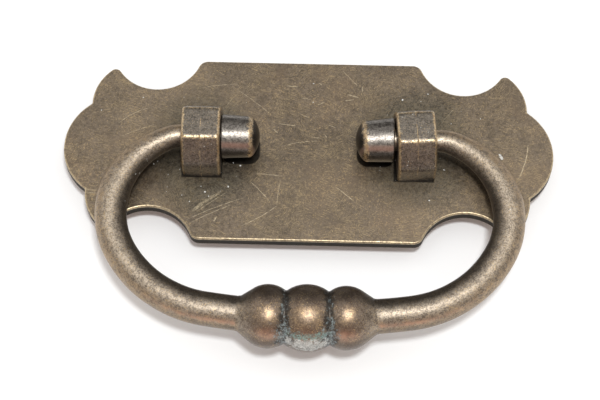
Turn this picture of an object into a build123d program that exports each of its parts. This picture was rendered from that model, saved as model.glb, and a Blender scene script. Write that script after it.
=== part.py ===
"""Drop pull: a scalloped back plate, two staked faceted posts, and a bail with three beads.

Millimetres. The plate lies on its back on z = 0, +Z points out of the drawer front, +Y up it, and
the origin is the middle of the plate's back face. The bail hangs towards -Y and its centre bead
touches the surface that the plate is screwed to.
"""
import math
import os

from build123d import *

# Back plate
plate_width = 118.6
plate_height = 48.6
plate_thickness = 2.6
top_edge_length = 54.2
horn_spread = 95.4
horn_drop = 2.0
scallop_depth = 7.2
lobe_length = 6.0
lobe_height = 23.4
horn_back_bulge = 1.6
top_corner_radius = 2.4
horn_tip_radius = 1.5
notch_radius = 0.6
plate_edge_radius = 0.45

# Posts
post_spacing = 51.0
post_width = 9.2
post_point_radius = 8.3
post_foot_width = 15.6
post_draft = 1.5
post_edge_radius = 0.8
pivot_above_plate = 6.1
right_post_turn = 4.5
bore_mouth_chamfer = 0.25

# Stake that rivets each post into the plate, with a tapped hole for the fixing screw
stake_diameter = 6.4
stake_head_diameter = 8.0
stake_head_depth = 0.8
screw_hole_diameter = 3.3
screw_hole_web = 0.9
drill_point_angle = 118.0

# Bail: journals in the posts, and the arcs of the round rod from each post to the bar
journal_diameter = 5.3
journal_clearance = 0.08
bend_outside_post = 0.1
bail_shift = 0.75
leg_radius = 9.9
leg_angle = 22.6
shoulder_radius = 20.6
shoulder_taper_angle = 55.0
shoulder_angle = 94.2
hip_radius = 28.3
hip_angle = 54.9
rod_diameter = 7.6
hip_end_diameter = 8.0
bar_diameter = 8.2

# Beads on the bar
centre_bead_diameter = 15.6
centre_bead_radius = 8.5
outer_bead_diameter = 14.8
outer_bead_offset = 9.0
outer_bead_radius = 6.6
flank_angle = 36.0
flank_foot_radius = 1.2
foot_sink = 0.02

# End knobs
knob_diameter = 10.6
knob_end_diameter = 9.8
knob_length = 9.1
knob_dome_height = 2.0
knob_corner_radius = 1.0
knob_shoulder_radius = 0.3
spigot_diameter = 4.0
spigot_length = 5.6
left_side_play = 0.15
right_side_play = 0.5
right_knob_lean = 4.5

os.makedirs("parts", exist_ok=True)

# Nearer than this, an edge counts as lying in a plane
hair = 0.001

post_x = post_spacing / 2
pivot_height = plate_thickness + pivot_above_plate
bore_radius = journal_diameter / 2 + journal_clearance
left_shoulder_x = post_x - post_width / 2 - left_side_play
right_shoulder_x = post_x - post_width / 2 - right_side_play
rod_start_x = post_x + post_width / 2 + bend_outside_post


def stake_profile():
    """Half section of the post's stake, from the plate's back face to its front face."""
    head = stake_head_diameter / 2
    shank = stake_diameter / 2
    Polygon(
        (0, 0),
        (head, 0),
        (shank, stake_head_depth),
        (shank, plate_thickness),
        (0, plate_thickness),
        align=None,
    )


# Back plate: one quarter of the outline, mirrored twice
with BuildPart() as back_plate:
    top = plate_height / 2
    straight_end = (top_edge_length / 2, top)
    horn_tip = (horn_spread / 2, top - horn_drop)
    notch = (plate_width / 2 - lobe_length, lobe_height / 2)
    lobe_radius = (lobe_length**2 + notch[1] ** 2) / (2 * lobe_length)
    with BuildSketch(Plane.XY) as outline:
        with BuildLine():
            Line((0, top), straight_end)
            SagittaArc(straight_end, horn_tip, -scallop_depth)
            SagittaArc(horn_tip, notch, horn_back_bulge)
            RadiusArc(notch, (plate_width / 2, 0), lobe_radius)
            mirror(about=Plane.YZ)
            mirror(about=Plane.XZ)
        make_face()
        corners = ((straight_end, top_corner_radius), (horn_tip, horn_tip_radius), (notch, notch_radius))
        for (x, y), radius in corners:
            here = outline.vertices().filter_by(lambda v: math.dist((abs(v.X), abs(v.Y)), (x, y)) < hair)
            fillet(here, radius=radius)
    extrude(amount=plate_thickness)
    fillet(back_plate.faces().sort_by(Axis.Z)[-1].edges(), radius=plate_edge_radius)
    for side in (-1, 1):
        stake_axis = Axis((side * post_x, 0, 0), (0, 0, 1))
        with BuildSketch(Plane(stake_axis.position, x_dir=(1, 0, 0), z_dir=(0, -1, 0))):
            stake_profile()
        revolve(axis=stake_axis, mode=Mode.SUBTRACT)
back_plate.part.label = "back_plate"
export_step(back_plate.part, "parts/back_plate.step")


def make_post(side, turn):
    """Faceted cast post: drafted both ways from its seam, bored across and tapped from behind."""
    seat = Plane((side * post_x, 0, plate_thickness)).rotated((0, 0, turn))
    seam = Plane(seat.origin, x_dir=seat.y_dir, z_dir=seat.x_dir)
    foot = post_foot_width / 2
    # The flanks run on below the plate's face, so that the draft leaves the seat flat
    root_depth = plate_thickness / 2
    root = foot - (post_point_radius - foot) * root_depth / pivot_above_plate
    flat = post_point_radius * math.cos(math.radians(60))
    crown = pivot_above_plate + post_point_radius * math.sin(math.radians(60))
    with BuildPart() as post:
        with BuildSketch(seam):
            Polygon(
                (-root, -root_depth),
                (root, -root_depth),
                (post_point_radius, pivot_above_plate),
                (flat, crown),
                (-flat, crown),
                (-post_point_radius, pivot_above_plate),
                align=None,
            )
        extrude(amount=post_width / 2, taper=post_draft)
        split(bisect_by=seat, keep=Keep.TOP)
        # The edges on the seam and round the seat stay sharp
        sharp = [
            edge
            for edge in post.edges()
            for plane in (seam, seat)
            if abs(plane.to_local_coords(edge.center()).Z) < hair
        ]
        fillet([edge for edge in post.edges() if edge not in sharp], radius=post_edge_radius)
        mirror(about=seam)
        bore_end = post_width / 2 - bore_mouth_chamfer
        flare = post_width / 2
        with BuildSketch(Plane((side * post_x, 0, pivot_height), x_dir=(1, 0, 0), z_dir=(0, -1, 0))):
            Polygon(
                (-bore_end - flare, 0),
                (-bore_end - flare, bore_radius + flare),
                (-bore_end, bore_radius),
                (bore_end, bore_radius),
                (bore_end + flare, bore_radius + flare),
                (bore_end + flare, 0),
                align=None,
            )
        revolve(axis=Axis((side * post_x, 0, pivot_height), (1, 0, 0)), mode=Mode.SUBTRACT)
        stake_axis = Axis((side * post_x, 0, 0), (0, 0, 1))
        with BuildSketch(Plane(stake_axis.position, x_dir=(1, 0, 0), z_dir=(0, -1, 0))):
            stake_profile()
        revolve(axis=stake_axis)
        hole = screw_hole_diameter / 2
        hole_tip = pivot_height - bore_radius - screw_hole_web
        hole_end = hole_tip - hole / math.tan(math.radians(drill_point_angle / 2))
        with BuildSketch(Plane(stake_axis.position, x_dir=(1, 0, 0), z_dir=(0, -1, 0))):
            Polygon((0, 0), (hole, 0), (hole, hole_end), (0, hole_tip), align=None)
        revolve(axis=stake_axis, mode=Mode.SUBTRACT)
    return post


for name, side, turn in (("left_post", -1, 0), ("right_post", 1, right_post_turn)):
    post = make_post(side, turn)
    post.part.label = name
    export_step(post.part, f"parts/{name}.step")


# Bail: the rod's arcs from post to bar, each with its rod diameter at the far end
leg_length = leg_radius * math.radians(leg_angle)
taper_length = leg_length + shoulder_radius * math.radians(shoulder_taper_angle)
leg_end_diameter = journal_diameter + (rod_diameter - journal_diameter) * leg_length / taper_length
rod_arcs = [
    (leg_radius, leg_angle, leg_end_diameter),
    (shoulder_radius, shoulder_taper_angle, rod_diameter),
    (shoulder_radius, shoulder_angle - shoulder_taper_angle, rod_diameter),
    (hip_radius, hip_angle, hip_end_diameter),
]
rod_x = rod_start_x
bail_drop = 0.0
heading = 0.0
for radius, turn, _ in rod_arcs:
    rod_x += radius * (math.sin(math.radians(heading + turn)) - math.sin(math.radians(heading)))
    bail_drop += radius * (math.cos(math.radians(heading)) - math.cos(math.radians(heading + turn)))
    heading += turn
# The bar is one long arc that meets its mirror image square on the middle line
bar_radius = rod_x / math.sin(math.radians(heading))
bail_drop += bar_radius * (1 + math.cos(math.radians(heading)))
rod_arcs.append((bar_radius, 180 - heading, bar_diameter))

rest_tilt = math.asin((pivot_height - centre_bead_diameter / 2) / bail_drop)
bail_plane = Plane(
    (0, 0, pivot_height),
    x_dir=(1, 0, 0),
    z_dir=(0, -math.sin(rest_tilt), math.cos(rest_tilt)),
)


def bar_plane(offset):
    """Plane of the bail with its X along the bar, at a distance along the bar from the bail's middle."""
    angle = offset / bar_radius
    place = bail_plane.from_local_coords(
        Vector(bail_shift + bar_radius * math.sin(angle), bar_radius * (1 - math.cos(angle)) - bail_drop, 0)
    )
    along = Vector(1, 0, 0).rotate(Axis(bail_plane.origin, bail_plane.z_dir), math.degrees(angle))
    return Plane(place, x_dir=along, z_dir=bail_plane.z_dir)


with BuildPart() as bail:
    # Rod swept along its arcs, tapering out of the post, about a middle that has slid sideways in the bores
    with BuildLine(bail_plane):
        rod_line = [JernArc((bail_shift + rod_start_x, 0), (1, 0), leg_radius, -leg_angle)]
        for radius, turn, _ in rod_arcs[1:]:
            rod_line.append(JernArc(rod_line[-1] @ 1, rod_line[-1] % 1, radius, -turn))
    with BuildSketch(Plane(rod_line[0] @ 0, x_dir=bail_plane.z_dir, z_dir=rod_line[0] % 0)):
        Circle(journal_diameter / 2)
    for arc, (_, _, diameter) in zip(rod_line, rod_arcs):
        with BuildSketch(Plane(arc @ 1, x_dir=bail_plane.z_dir, z_dir=arc % 1)):
            Circle(diameter / 2)
    sweep(multisection=True)
    mirror(about=Plane.YZ.offset(bail_shift))
    # Journals and spigots, turned on the pivot line
    for side, shoulder_x in ((-1, left_shoulder_x), (1, right_shoulder_x)):
        journal_end_x = rod_start_x + side * bail_shift
        with BuildSketch(bail_plane):
            with Locations((side * (shoulder_x + journal_end_x) / 2, journal_diameter / 4)):
                Rectangle(journal_end_x - shoulder_x, journal_diameter / 2)
            with Locations((side * (shoulder_x - spigot_length / 2), spigot_diameter / 4)):
                Rectangle(spigot_length, spigot_diameter / 2)
        revolve(axis=Axis(bail_plane.origin, (1, 0, 0)))
    # Outer beads: a round crown, a straight flank and a hollow foot that runs out just under the rod
    crown_centre = outer_bead_diameter / 2 - outer_bead_radius
    slope = math.radians(flank_angle)
    flank_start = (outer_bead_radius * math.sin(slope), crown_centre + outer_bead_radius * math.cos(slope))
    foot_y = bar_diameter / 2 - foot_sink
    foot_x = flank_start[0] + (flank_start[1] - foot_y) / math.tan(slope)
    end_x = foot_x + flank_foot_radius * math.tan(slope / 2) + foot_sink
    inner_x = -math.sqrt(outer_bead_radius**2 - crown_centre**2)
    for side in (-1, 1):
        bead_plane = bar_plane(side * outer_bead_offset)
        with BuildSketch(bead_plane) as bead_profile:
            with BuildLine():
                crown_end = (side * flank_start[0], flank_start[1])
                RadiusArc((side * inner_x, 0), crown_end, side * outer_bead_radius)
                Polyline(crown_end, (side * foot_x, foot_y), (side * end_x, foot_y))
                Polyline((side * end_x, foot_y), (side * end_x, 0), (side * inner_x, 0))
            make_face()
            foot = bead_profile.vertices().sort_by_distance((side * foot_x, foot_y, 0))[0]
            fillet(foot, radius=flank_foot_radius)
        revolve(axis=Axis(bead_plane.origin, bead_plane.x_dir))
    # Centre bead, which meets the outer beads in two sharp grooves
    centre_plane = bar_plane(0)
    with BuildSketch(centre_plane):
        with BuildLine():
            bead_centre = centre_bead_diameter / 2 - centre_bead_radius
            bead_end = math.sqrt(centre_bead_radius**2 - bead_centre**2)
            RadiusArc((-bead_end, 0), (bead_end, 0), -centre_bead_radius)
            Line((bead_end, 0), (-bead_end, 0))
        make_face()
    revolve(axis=Axis(centre_plane.origin, centre_plane.x_dir))
bail.part.label = "bail"
export_step(bail.part, "parts/bail.step")


def make_knob(side, shoulder_x, lean):
    """Domed end cap, bored to press on the bail's spigot, its body leaning from the pivot line."""
    shoulder = bail_plane.from_local_coords(Vector(side * shoulder_x, 0, 0))
    inward = Vector(-side, 0, 0)
    leaning = inward.rotate(Axis(bail_plane.origin, bail_plane.z_dir), lean)
    knob_plane = Plane(shoulder, x_dir=leaning, z_dir=bail_plane.z_dir)
    # The blank runs on past the shoulder, where the leaning body is cut square to the pivot line
    overrun = knob_diameter / 2 * math.sin(math.radians(lean)) + knob_shoulder_radius
    with BuildPart() as knob:
        with BuildSketch(knob_plane) as profile:
            barrel = knob_length - knob_dome_height
            with BuildLine():
                Polyline(
                    (barrel, knob_end_diameter / 2),
                    (0, knob_diameter / 2),
                    (-overrun, knob_diameter / 2),
                    (-overrun, 0),
                    (knob_length, 0),
                )
                dome_radius = (knob_dome_height**2 + (knob_end_diameter / 2) ** 2) / (2 * knob_dome_height)
                RadiusArc((barrel, knob_end_diameter / 2), (knob_length, 0), dome_radius)
            make_face()
            corner = profile.vertices().sort_by_distance((barrel, knob_end_diameter / 2, 0))[0]
            fillet(corner, radius=knob_corner_radius)
        revolve(axis=Axis(shoulder, leaning))
        split(bisect_by=Plane(shoulder, z_dir=inward), keep=Keep.TOP)
        rim = knob.faces().sort_by_distance(shoulder)[0].edges()
        fillet(rim, radius=knob_shoulder_radius)
        with BuildSketch(Plane(shoulder, z_dir=inward)):
            Circle(spigot_diameter / 2)
        extrude(amount=spigot_length, mode=Mode.SUBTRACT)
    return knob


for name, side, shoulder_x, lean in (
    ("left_knob", -1, left_shoulder_x, 0),
    ("right_knob", 1, right_shoulder_x, right_knob_lean),
):
    knob = make_knob(side, shoulder_x, lean)
    knob.part.label = name
    export_step(knob.part, f"parts/{name}.step")
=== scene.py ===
"""Drop pull in aged brass, dressed piece by piece in the order in which the real one is put together.

Metres, in the frame of the CAD part: the plate lies on z = 0 and the bail hangs towards -Y.
"""
import math

import bmesh
import bpy
import numpy as np
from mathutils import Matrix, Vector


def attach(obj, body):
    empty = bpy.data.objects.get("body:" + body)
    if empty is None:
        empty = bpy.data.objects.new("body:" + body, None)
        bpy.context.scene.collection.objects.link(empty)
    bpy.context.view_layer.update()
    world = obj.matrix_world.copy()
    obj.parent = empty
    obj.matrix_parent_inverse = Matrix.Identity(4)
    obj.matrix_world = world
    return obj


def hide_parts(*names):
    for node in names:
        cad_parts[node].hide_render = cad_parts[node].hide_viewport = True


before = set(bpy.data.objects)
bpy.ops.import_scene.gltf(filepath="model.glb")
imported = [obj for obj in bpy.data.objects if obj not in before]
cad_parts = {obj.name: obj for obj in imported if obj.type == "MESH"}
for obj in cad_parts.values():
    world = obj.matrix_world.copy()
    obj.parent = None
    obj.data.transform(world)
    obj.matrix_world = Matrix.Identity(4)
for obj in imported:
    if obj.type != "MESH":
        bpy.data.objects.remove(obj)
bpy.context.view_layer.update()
mm = 0.001


# Back plate
# A sheet-brass plate with scalloped corners, blanked and tumbled, then browned with a patina that was
# rubbed off again along the rim. It is the CAD node itself, because its outline is true there.
plate_height = 48.6 * mm
plate_top = 2.6 * mm
top_corner = np.array((27.1, 24.3)) * mm
horn_tip = np.array((47.7, 22.3)) * mm
notch = np.array((53.3, 11.7)) * mm
lobe_tip_x = 59.3 * mm
top_corner_radius = 2.4 * mm
horn_tip_radius = 1.5 * mm
scallop_depth = 7.2 * mm
horn_bulge = 1.6 * mm
end_start_x = 44.0 * mm
# Where the posts stand on it
post_x = 25.5 * mm
post_width = 9.2 * mm
post_foot = 7.8 * mm


def add(tree, kind, inputs=(), **settings):
    """One shader node, with its settings, and its sockets by name or number set to a value or linked."""
    made = tree.nodes.new(kind)
    for key, value in settings.items():
        setattr(made, key, value)
    for socket, value in dict(inputs).items():
        if isinstance(value, bpy.types.NodeSocket):
            tree.links.new(value, made.inputs[socket])
        else:
            made.inputs[socket].default_value = value
    return made


def maths(tree, operation, first, *others):
    """Values or sockets taken together by Math nodes of one operation, from the first to the last."""
    if not others:
        return add(tree, "ShaderNodeMath", {0: first}, operation=operation).outputs[0]
    for other in others:
        first = add(tree, "ShaderNodeMath", {0: first, 1: other}, operation=operation).outputs[0]
    return first


def times(tree, *factors):
    """The product of values or sockets."""
    return maths(tree, "MULTIPLY", *factors)


def plus(tree, *terms):
    """The sum of values or sockets."""
    return maths(tree, "ADD", *terms)


def minus(tree, a, b):
    """Value or socket a less b."""
    return maths(tree, "SUBTRACT", a, b)


def apart(tree, a, b):
    """How far values or sockets a and b lie apart."""
    return maths(tree, "ABSOLUTE", minus(tree, a, b))


def greatest(tree, *values):
    """The greatest of values or sockets."""
    return maths(tree, "MAXIMUM", *values)


def vector_maths(tree, operation, *values):
    """The output of one Vector Math node: a number for a distance, length or dot product, else a vector."""
    output = 1 if operation in ("DISTANCE", "LENGTH", "DOT_PRODUCT") else 0
    return add(tree, "ShaderNodeVectorMath", dict(enumerate(values)), operation=operation).outputs[output]


def parts_of(tree, vector):
    """The x, y and z of a vector."""
    return add(tree, "ShaderNodeSeparateXYZ", {0: vector}).outputs


def joined(tree, *parts):
    """The vector with the given x, y and z, or only the first of them."""
    return add(tree, "ShaderNodeCombineXYZ", dict(enumerate(parts))).outputs[0]


def ramp(tree, value, low, high, to_low=0.0, to_high=1.0):
    """A smooth step of a value, from to_low at low to to_high at high."""
    inputs = {"Value": value, "From Min": low, "From Max": high, "To Min": to_low, "To Max": to_high}
    return add(tree, "ShaderNodeMapRange", inputs, interpolation_type="SMOOTHSTEP").outputs["Result"]


def noise(tree, vector, scale, detail=3.0, roughness=0.55, distortion=0.0, output="Fac"):
    """Cloudy noise of a scale in waves a metre."""
    inputs = {"Vector": vector, "Scale": scale, "Detail": detail, "Roughness": roughness}
    return add(tree, "ShaderNodeTexNoise", {**inputs, "Distortion": distortion}).outputs[output]


def blend(tree, share, a, b):
    """Colour a turned towards colour b by a share from 0 to 1."""
    a, b = (colour if isinstance(colour, bpy.types.NodeSocket) else (*colour, 1.0) for colour in (a, b))
    return add(tree, "ShaderNodeMix", {"Factor": share, 6: a, 7: b}, data_type="RGBA").outputs[2]


def coats(tree, colour, *layers):
    """A colour with coats of (share, colour) laid over it in turn."""
    for share, coat in layers:
        colour = blend(tree, share, colour, coat)
    return colour


def grained(tree, grain, colour, dark, pale):
    """A colour turned by the grain from one coat over it to another, each a (share, colour)."""
    return blend(tree, grain, coats(tree, colour, dark), coats(tree, colour, pale))


def shader_group(name, inputs, outputs):
    """An empty shader node group: (group, its inputs, its output node's sockets).

    Inputs are a dict of names and values, None for a vector; outputs are names of values.
    """
    group = bpy.data.node_groups.new(name, "ShaderNodeTree")
    for label, value in inputs.items():
        kind = "NodeSocketVector" if value is None else "NodeSocketFloat"
        socket = group.interface.new_socket(name=label, in_out="INPUT", socket_type=kind)
        if value is not None:
            socket.default_value = value
    for label in outputs:
        group.interface.new_socket(name=label, in_out="OUTPUT", socket_type="NodeSocketFloat")
    entry = group.nodes.new("NodeGroupInput").outputs
    return group, entry, group.nodes.new("NodeGroupOutput").inputs


def use(tree, group, **inputs):
    """A shader node group placed in a material; underscores in a socket's name stand for spaces."""
    inputs = {key.replace("_", " "): value for key, value in inputs.items()}
    return add(tree, "ShaderNodeGroup", inputs, node_tree=group).outputs


# Patina grain: clouds of thicker and thinner brown, a fine uneven grain, points of bare brass, and the height
# of the pitted skin
patina_grain, given, out = shader_group(
    "patina_grain",
    {"Vector": None, "Cloud Scale": 120.0, "Grain Scale": 2200.0},
    ("Cloud", "Grain", "Glint", "Height"),
)
g = patina_grain
cloud = noise(g, given["Vector"], given["Cloud Scale"], 5.0, 0.62, 0.4)
fine = noise(g, given["Vector"], given["Grain Scale"], 4.0, 0.75)
coarse = noise(g, given["Vector"], times(g, given["Grain Scale"], 0.45), 3.0, 0.6, 0.6)
points = noise(g, given["Vector"], times(g, given["Grain Scale"], 1.13), 1.0, 0.5)
points = plus(g, points, times(g, minus(g, cloud, 0.5), 0.35))
skin = plus(g, times(g, fine, 0.6), times(g, coarse, 0.4))
g.links.new(ramp(g, cloud, 0.32, 0.7), out["Cloud"])
g.links.new(ramp(g, skin, 0.39, 0.61), out["Grain"])
g.links.new(ramp(g, points, 0.61, 0.70), out["Glint"])
g.links.new(skin, out["Height"])

# Rubbed haze: short broken streaks of bared brass lying one way, thicker in some places than others
rub_haze, given, out = shader_group(
    "rub_haze",
    {"Vector": None, "Angle": 0.0, "Length": 0.004, "Width": 0.0003, "Seed": 0.0},
    ("Streaks",),
)
g = rub_haze
turned = {"Vector": given["Vector"], "Angle": given["Angle"]}
turned = add(g, "ShaderNodeVectorRotate", turned, rotation_type="Z_AXIS").outputs[0]
along, across, _ = parts_of(g, turned)
along, across = maths(g, "DIVIDE", along, given["Length"]), maths(g, "DIVIDE", across, given["Width"])
lines = noise(g, joined(g, along, across, given["Seed"]), 1.0, 2.0, 0.6)
places = vector_maths(g, "ADD", given["Vector"], joined(g, given["Seed"], given["Seed"], given["Seed"]))
places = noise(g, places, 170.0, 3.0, 0.6)
g.links.new(times(g, ramp(g, lines, 0.54, 0.68), ramp(g, places, 0.46, 0.64)), out["Streaks"])

# One scratch from one point to another, bowed to its left: a bundle of fine broken hairs, twice Width wide
hair_length = 1.1 * mm
hair_width = 0.12 * mm
scratch, given, out = shader_group(
    "scratch", {"Vector": None, "From": None, "To": None, "Bow": 0.0, "Width": 0.0001}, ("Stroke",)
)
g = scratch
chord = vector_maths(g, "SUBTRACT", given["To"], given["From"])
way = vector_maths(g, "NORMALIZE", chord)
left = vector_maths(g, "CROSS_PRODUCT", (0.0, 0.0, 1.0), way)
local = vector_maths(g, "MULTIPLY", vector_maths(g, "ADD", given["To"], given["From"]), (0.5, 0.5, 0.5))
local = vector_maths(g, "SUBTRACT", given["Vector"], local)
half = times(g, vector_maths(g, "LENGTH", chord), 0.5)
along = vector_maths(g, "DOT_PRODUCT", local, way)
place = maths(g, "DIVIDE", along, half)
bowed = times(g, minus(g, 1.0, times(g, place, place)), given["Bow"])
off = minus(g, vector_maths(g, "DOT_PRODUCT", local, left), bowed)
hairs = joined(g, times(g, along, 1 / hair_length), times(g, off, 1 / hair_width), half)
hairs = noise(g, hairs, 1.0, 3.0, 0.65)
band = ramp(g, maths(g, "DIVIDE", maths(g, "ABSOLUTE", off), given["Width"]), 1.0, 0.3)
stroke = times(g, band, ramp(g, hairs, 0.43, 0.60), ramp(g, maths(g, "ABSOLUTE", place), 1.0, 0.5))
g.links.new(stroke, out["Stroke"])

# Salt: pale crumbs of dried polish and corrosion, one at most in each cell, more of them where Amount is high
salt, given, out = shader_group("salt", {"Vector": None, "Scale": 1100.0, "Amount": 0.05}, ("Crumbs",))
g = salt
shaken = noise(g, given["Vector"], 2600.0, 1.0, 0.5, output="Color")
shaken = vector_maths(g, "SUBTRACT", shaken, (0.5, 0.5, 0.5))
shaken = vector_maths(g, "MULTIPLY", shaken, (0.5 * mm, 0.5 * mm, 0.5 * mm))
shaken = vector_maths(g, "ADD", given["Vector"], shaken)
cells = add(g, "ShaderNodeTexVoronoi", {"Vector": shaken, "Scale": given["Scale"], "Randomness": 1.0}).outputs
luck, size, _ = add(g, "ShaderNodeSeparateColor", {0: cells["Color"]}).outputs
crumb = ramp(g, maths(g, "DIVIDE", cells["Distance"], ramp(g, size, 0.0, 1.0, 0.09, 0.27)), 1.0, 0.7)
g.links.new(times(g, crumb, maths(g, "LESS_THAN", luck, given["Amount"])), out["Crumbs"])


def direction(vector):
    """A flat vector made one long."""
    return vector / np.hypot(*vector)


def circle_through(a, b, bulge):
    """(centre, radius) of the arc from a to b whose middle stands off the chord, to its left, by bulge."""
    chord = b - a
    half = np.hypot(*chord) / 2
    radius = (half**2 + bulge**2) / (2 * abs(bulge))
    left = np.array((-chord[1], chord[0])) / (2 * half)
    return (a + b) / 2 + left * math.copysign(radius - abs(bulge), -bulge), radius


# Rim: the distance from the plate's outline, whose arcs are three circles mirrored over both middle lines
rim_distance, given, out = shader_group("rim_distance", {"Vector": None}, ("Distance",))
g = rim_distance
folded = vector_maths(g, "MULTIPLY", vector_maths(g, "ABSOLUTE", given["Vector"]), (1.0, 1.0, 0.0))
folded_x, folded_y, _ = parts_of(g, folded)
scallop = circle_through(top_corner, horn_tip, -scallop_depth)
horn = circle_through(horn_tip, notch, horn_bulge)
lobe_radius = ((lobe_tip_x - notch[0]) ** 2 + notch[1] ** 2) / (2 * (lobe_tip_x - notch[0]))
lobe = ((lobe_tip_x - lobe_radius, 0.0), lobe_radius)


def circle_distance(tree, circle):
    """Distance of the folded point from a circle's centre, less the radius."""
    (centre_x, centre_y), radius = circle
    reach = vector_maths(tree, "DISTANCE", folded, (centre_x, centre_y, 0.0))
    return minus(tree, reach, radius)


def meeting(circle_a, circle_b):
    """The point where two circles cross, on the side of the plate's upper right corner."""
    (centre_a, radius_a), (centre_b, radius_b) = circle_a, circle_b
    ahead = direction(np.subtract(centre_b, centre_a))
    reach = np.hypot(*np.subtract(centre_b, centre_a))
    along = (reach**2 + radius_a**2 - radius_b**2) / (2 * reach)
    off = math.sqrt(radius_a**2 - along**2) * np.array((-ahead[1], ahead[0]))
    return max((centre_a + along * ahead + side * off for side in (1, -1)), key=lambda point: point[1])


def rounded(tree, inside, centre, radius, ways):
    """The distance made round at a corner, between two directions from the centre of its radius."""
    middle = direction(sum(ways))
    local = vector_maths(tree, "SUBTRACT", folded, (*centre, 0.0))
    reach = vector_maths(tree, "LENGTH", local)
    ahead = vector_maths(tree, "DOT_PRODUCT", local, (*middle, 0.0))
    between = maths(tree, "GREATER_THAN", ahead, times(tree, reach, float(middle @ ways[0])))
    change = minus(tree, minus(tree, radius, reach), inside)
    return plus(tree, inside, times(tree, change, between))


inside_end = greatest(
    g,
    times(g, circle_distance(g, horn), -1.0),
    times(g, circle_distance(g, lobe), -1.0),
    minus(g, end_start_x, folded_x),
)
inside_top = minus(g, plate_height / 2, folded_y)
inside = maths(g, "MINIMUM", inside_top, circle_distance(g, scallop), inside_end)
(scallop_centre, scallop_radius), (horn_centre, horn_radius) = scallop, horn
corner_y = plate_height / 2 - top_corner_radius
reach = math.sqrt((scallop_radius + top_corner_radius) ** 2 - (corner_y - scallop_centre[1]) ** 2)
corner = np.array((scallop_centre[0] - reach, corner_y))
ways = (np.array((0.0, 1.0)), direction(scallop_centre - corner))
inside = rounded(g, inside, corner, top_corner_radius, ways)
beside_scallop = (scallop_centre, scallop_radius + horn_tip_radius)
tip = meeting(beside_scallop, (horn_centre, horn_radius - horn_tip_radius))
ways = (direction(scallop_centre - tip), direction(tip - horn_centre))
inside = rounded(g, inside, tip, horn_tip_radius, ways)
g.links.new(inside, out["Distance"])


def new_material(name, slot_colour):
    """A material with its node tree emptied: (material, tree, shader, object coordinates)."""
    material = bpy.data.materials.new(name)
    material.use_nodes = True
    material.diffuse_color = (*slot_colour, 1.0)
    tree = material.node_tree
    tree.nodes.clear()
    shader = add(tree, "ShaderNodeBsdfPrincipled")
    tree.links.new(shader.outputs[0], add(tree, "ShaderNodeOutputMaterial").inputs[0])
    return material, tree, shader, add(tree, "ShaderNodeTexCoord").outputs["Object"]


def dress(tree, shader, colour, roughness, loose, height, strength, depth, loose_metal=0.0):
    """Ends a metal: its colour, roughness and bumps, metallic but for what lies loose on it."""
    bump = add(tree, "ShaderNodeBump", {"Height": height, "Strength": strength, "Distance": depth}).outputs[0]
    metallic = ramp(tree, loose, 0.0, 1.0, 0.85, loose_metal)
    ends = {"Base Color": colour, "Roughness": roughness, "Metallic": metallic, "Normal": bump}
    for name, source in ends.items():
        tree.links.new(source, shader.inputs[name])


# Scratches seen on the plate, in millimetres: x and y of both ends, bow to the left, half width, strength
plate_scratches = [
    (50.3, -7.3, 53.3, 3.6, -0.6, 0.2, 1.3),
    (-47.0, 5.6, -38.5, 10.9, 0.8, 0.13, 0.9),
    (-46.4, 2.2, -36.6, 6.5, 0.2, 0.11, 0.6),
    (-19.0, 17.1, -8.5, 8.7, 0.3, 0.11, 0.7),
    (-14.3, -8.4, -8.6, -14.5, 0.2, 0.14, 0.9),
    (-27.7, -17.4, -20.4, -11.6, 0.2, 0.55, 1.5),
    (-26.9, -17.9, -18.7, -11.5, 0.2, 0.18, 0.9),
    (-29.2, -19.9, -14.6, -13.2, 0.5, 0.15, 0.9),
    (-28.2, -20.6, -17.0, -14.8, 0.3, 0.18, 0.7),
    (-16.4, -21.1, -6.3, -14.4, -0.5, 0.13, 1.0),
    (-7.2, -15.4, -6.5, -7.7, 0.1, 0.11, 0.8),
    (-22.1, -19.8, -21.4, -18.3, 0.0, 0.22, 1.3),
    (6.5, -9.7, 11.7, -14.0, 0.1, 0.18, 0.9),
    (7.8, 22.5, 12.4, 17.4, 0.0, 0.11, 0.9),
    (31.9, 7.4, 36.2, 13.1, 0.2, 0.11, 0.8),
    (-13.4, -6.7, -5.2, -7.3, 0.1, 0.2, 0.7),
    (-8.1, 7.0, -2.7, 6.5, 0.1, 0.17, 0.9),
    (-5.8, 17.7, -2.7, 17.5, 0.0, 0.2, 1.0),
    (-6.9, 0.7, 3.0, 2.6, 0.4, 0.12, 0.8),
    (-27.8, 16.3, -17.1, 18.0, 0.3, 0.11, 0.7),
    (-18.7, 14.5, -21.0, 10.7, 0.1, 0.12, 0.7),
    (-53.4, -12.0, -50.0, -12.1, 0.0, 0.1, 1.2),
    (-53.2, -12.7, -50.0, -12.9, 0.0, 0.1, 1.2),
    (2.0, 18.7, 3.0, 18.1, 0.1, 0.22, 0.9),
    (-2.3, 14.3, 0.6, 14.0, 0.1, 0.13, 0.8),
    (1.8, 12.3, 3.9, 13.4, 0.1, 0.2, 0.8),
    (9.0, 15.6, 12.3, 14.7, 0.1, 0.26, 1.0),
    (8.5, 13.8, 11.0, 14.3, 0.0, 0.2, 0.9),
    (12.9, 18.1, 13.0, 16.2, 0.0, 0.2, 0.9),
    (-2.4, 9.8, 0.2, 8.8, 0.1, 0.14, 0.8),
    (-8.7, 5.6, -7.4, 4.4, 0.0, 0.16, 1.1),
    (1.1, 3.4, 2.8, 3.4, 0.0, 0.2, 0.9),
    (3.8, 4.5, 4.5, 3.4, 0.0, 0.16, 0.9),
    (4.4, 7.0, 6.7, 6.2, 0.1, 0.12, 1.0),
]

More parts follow.
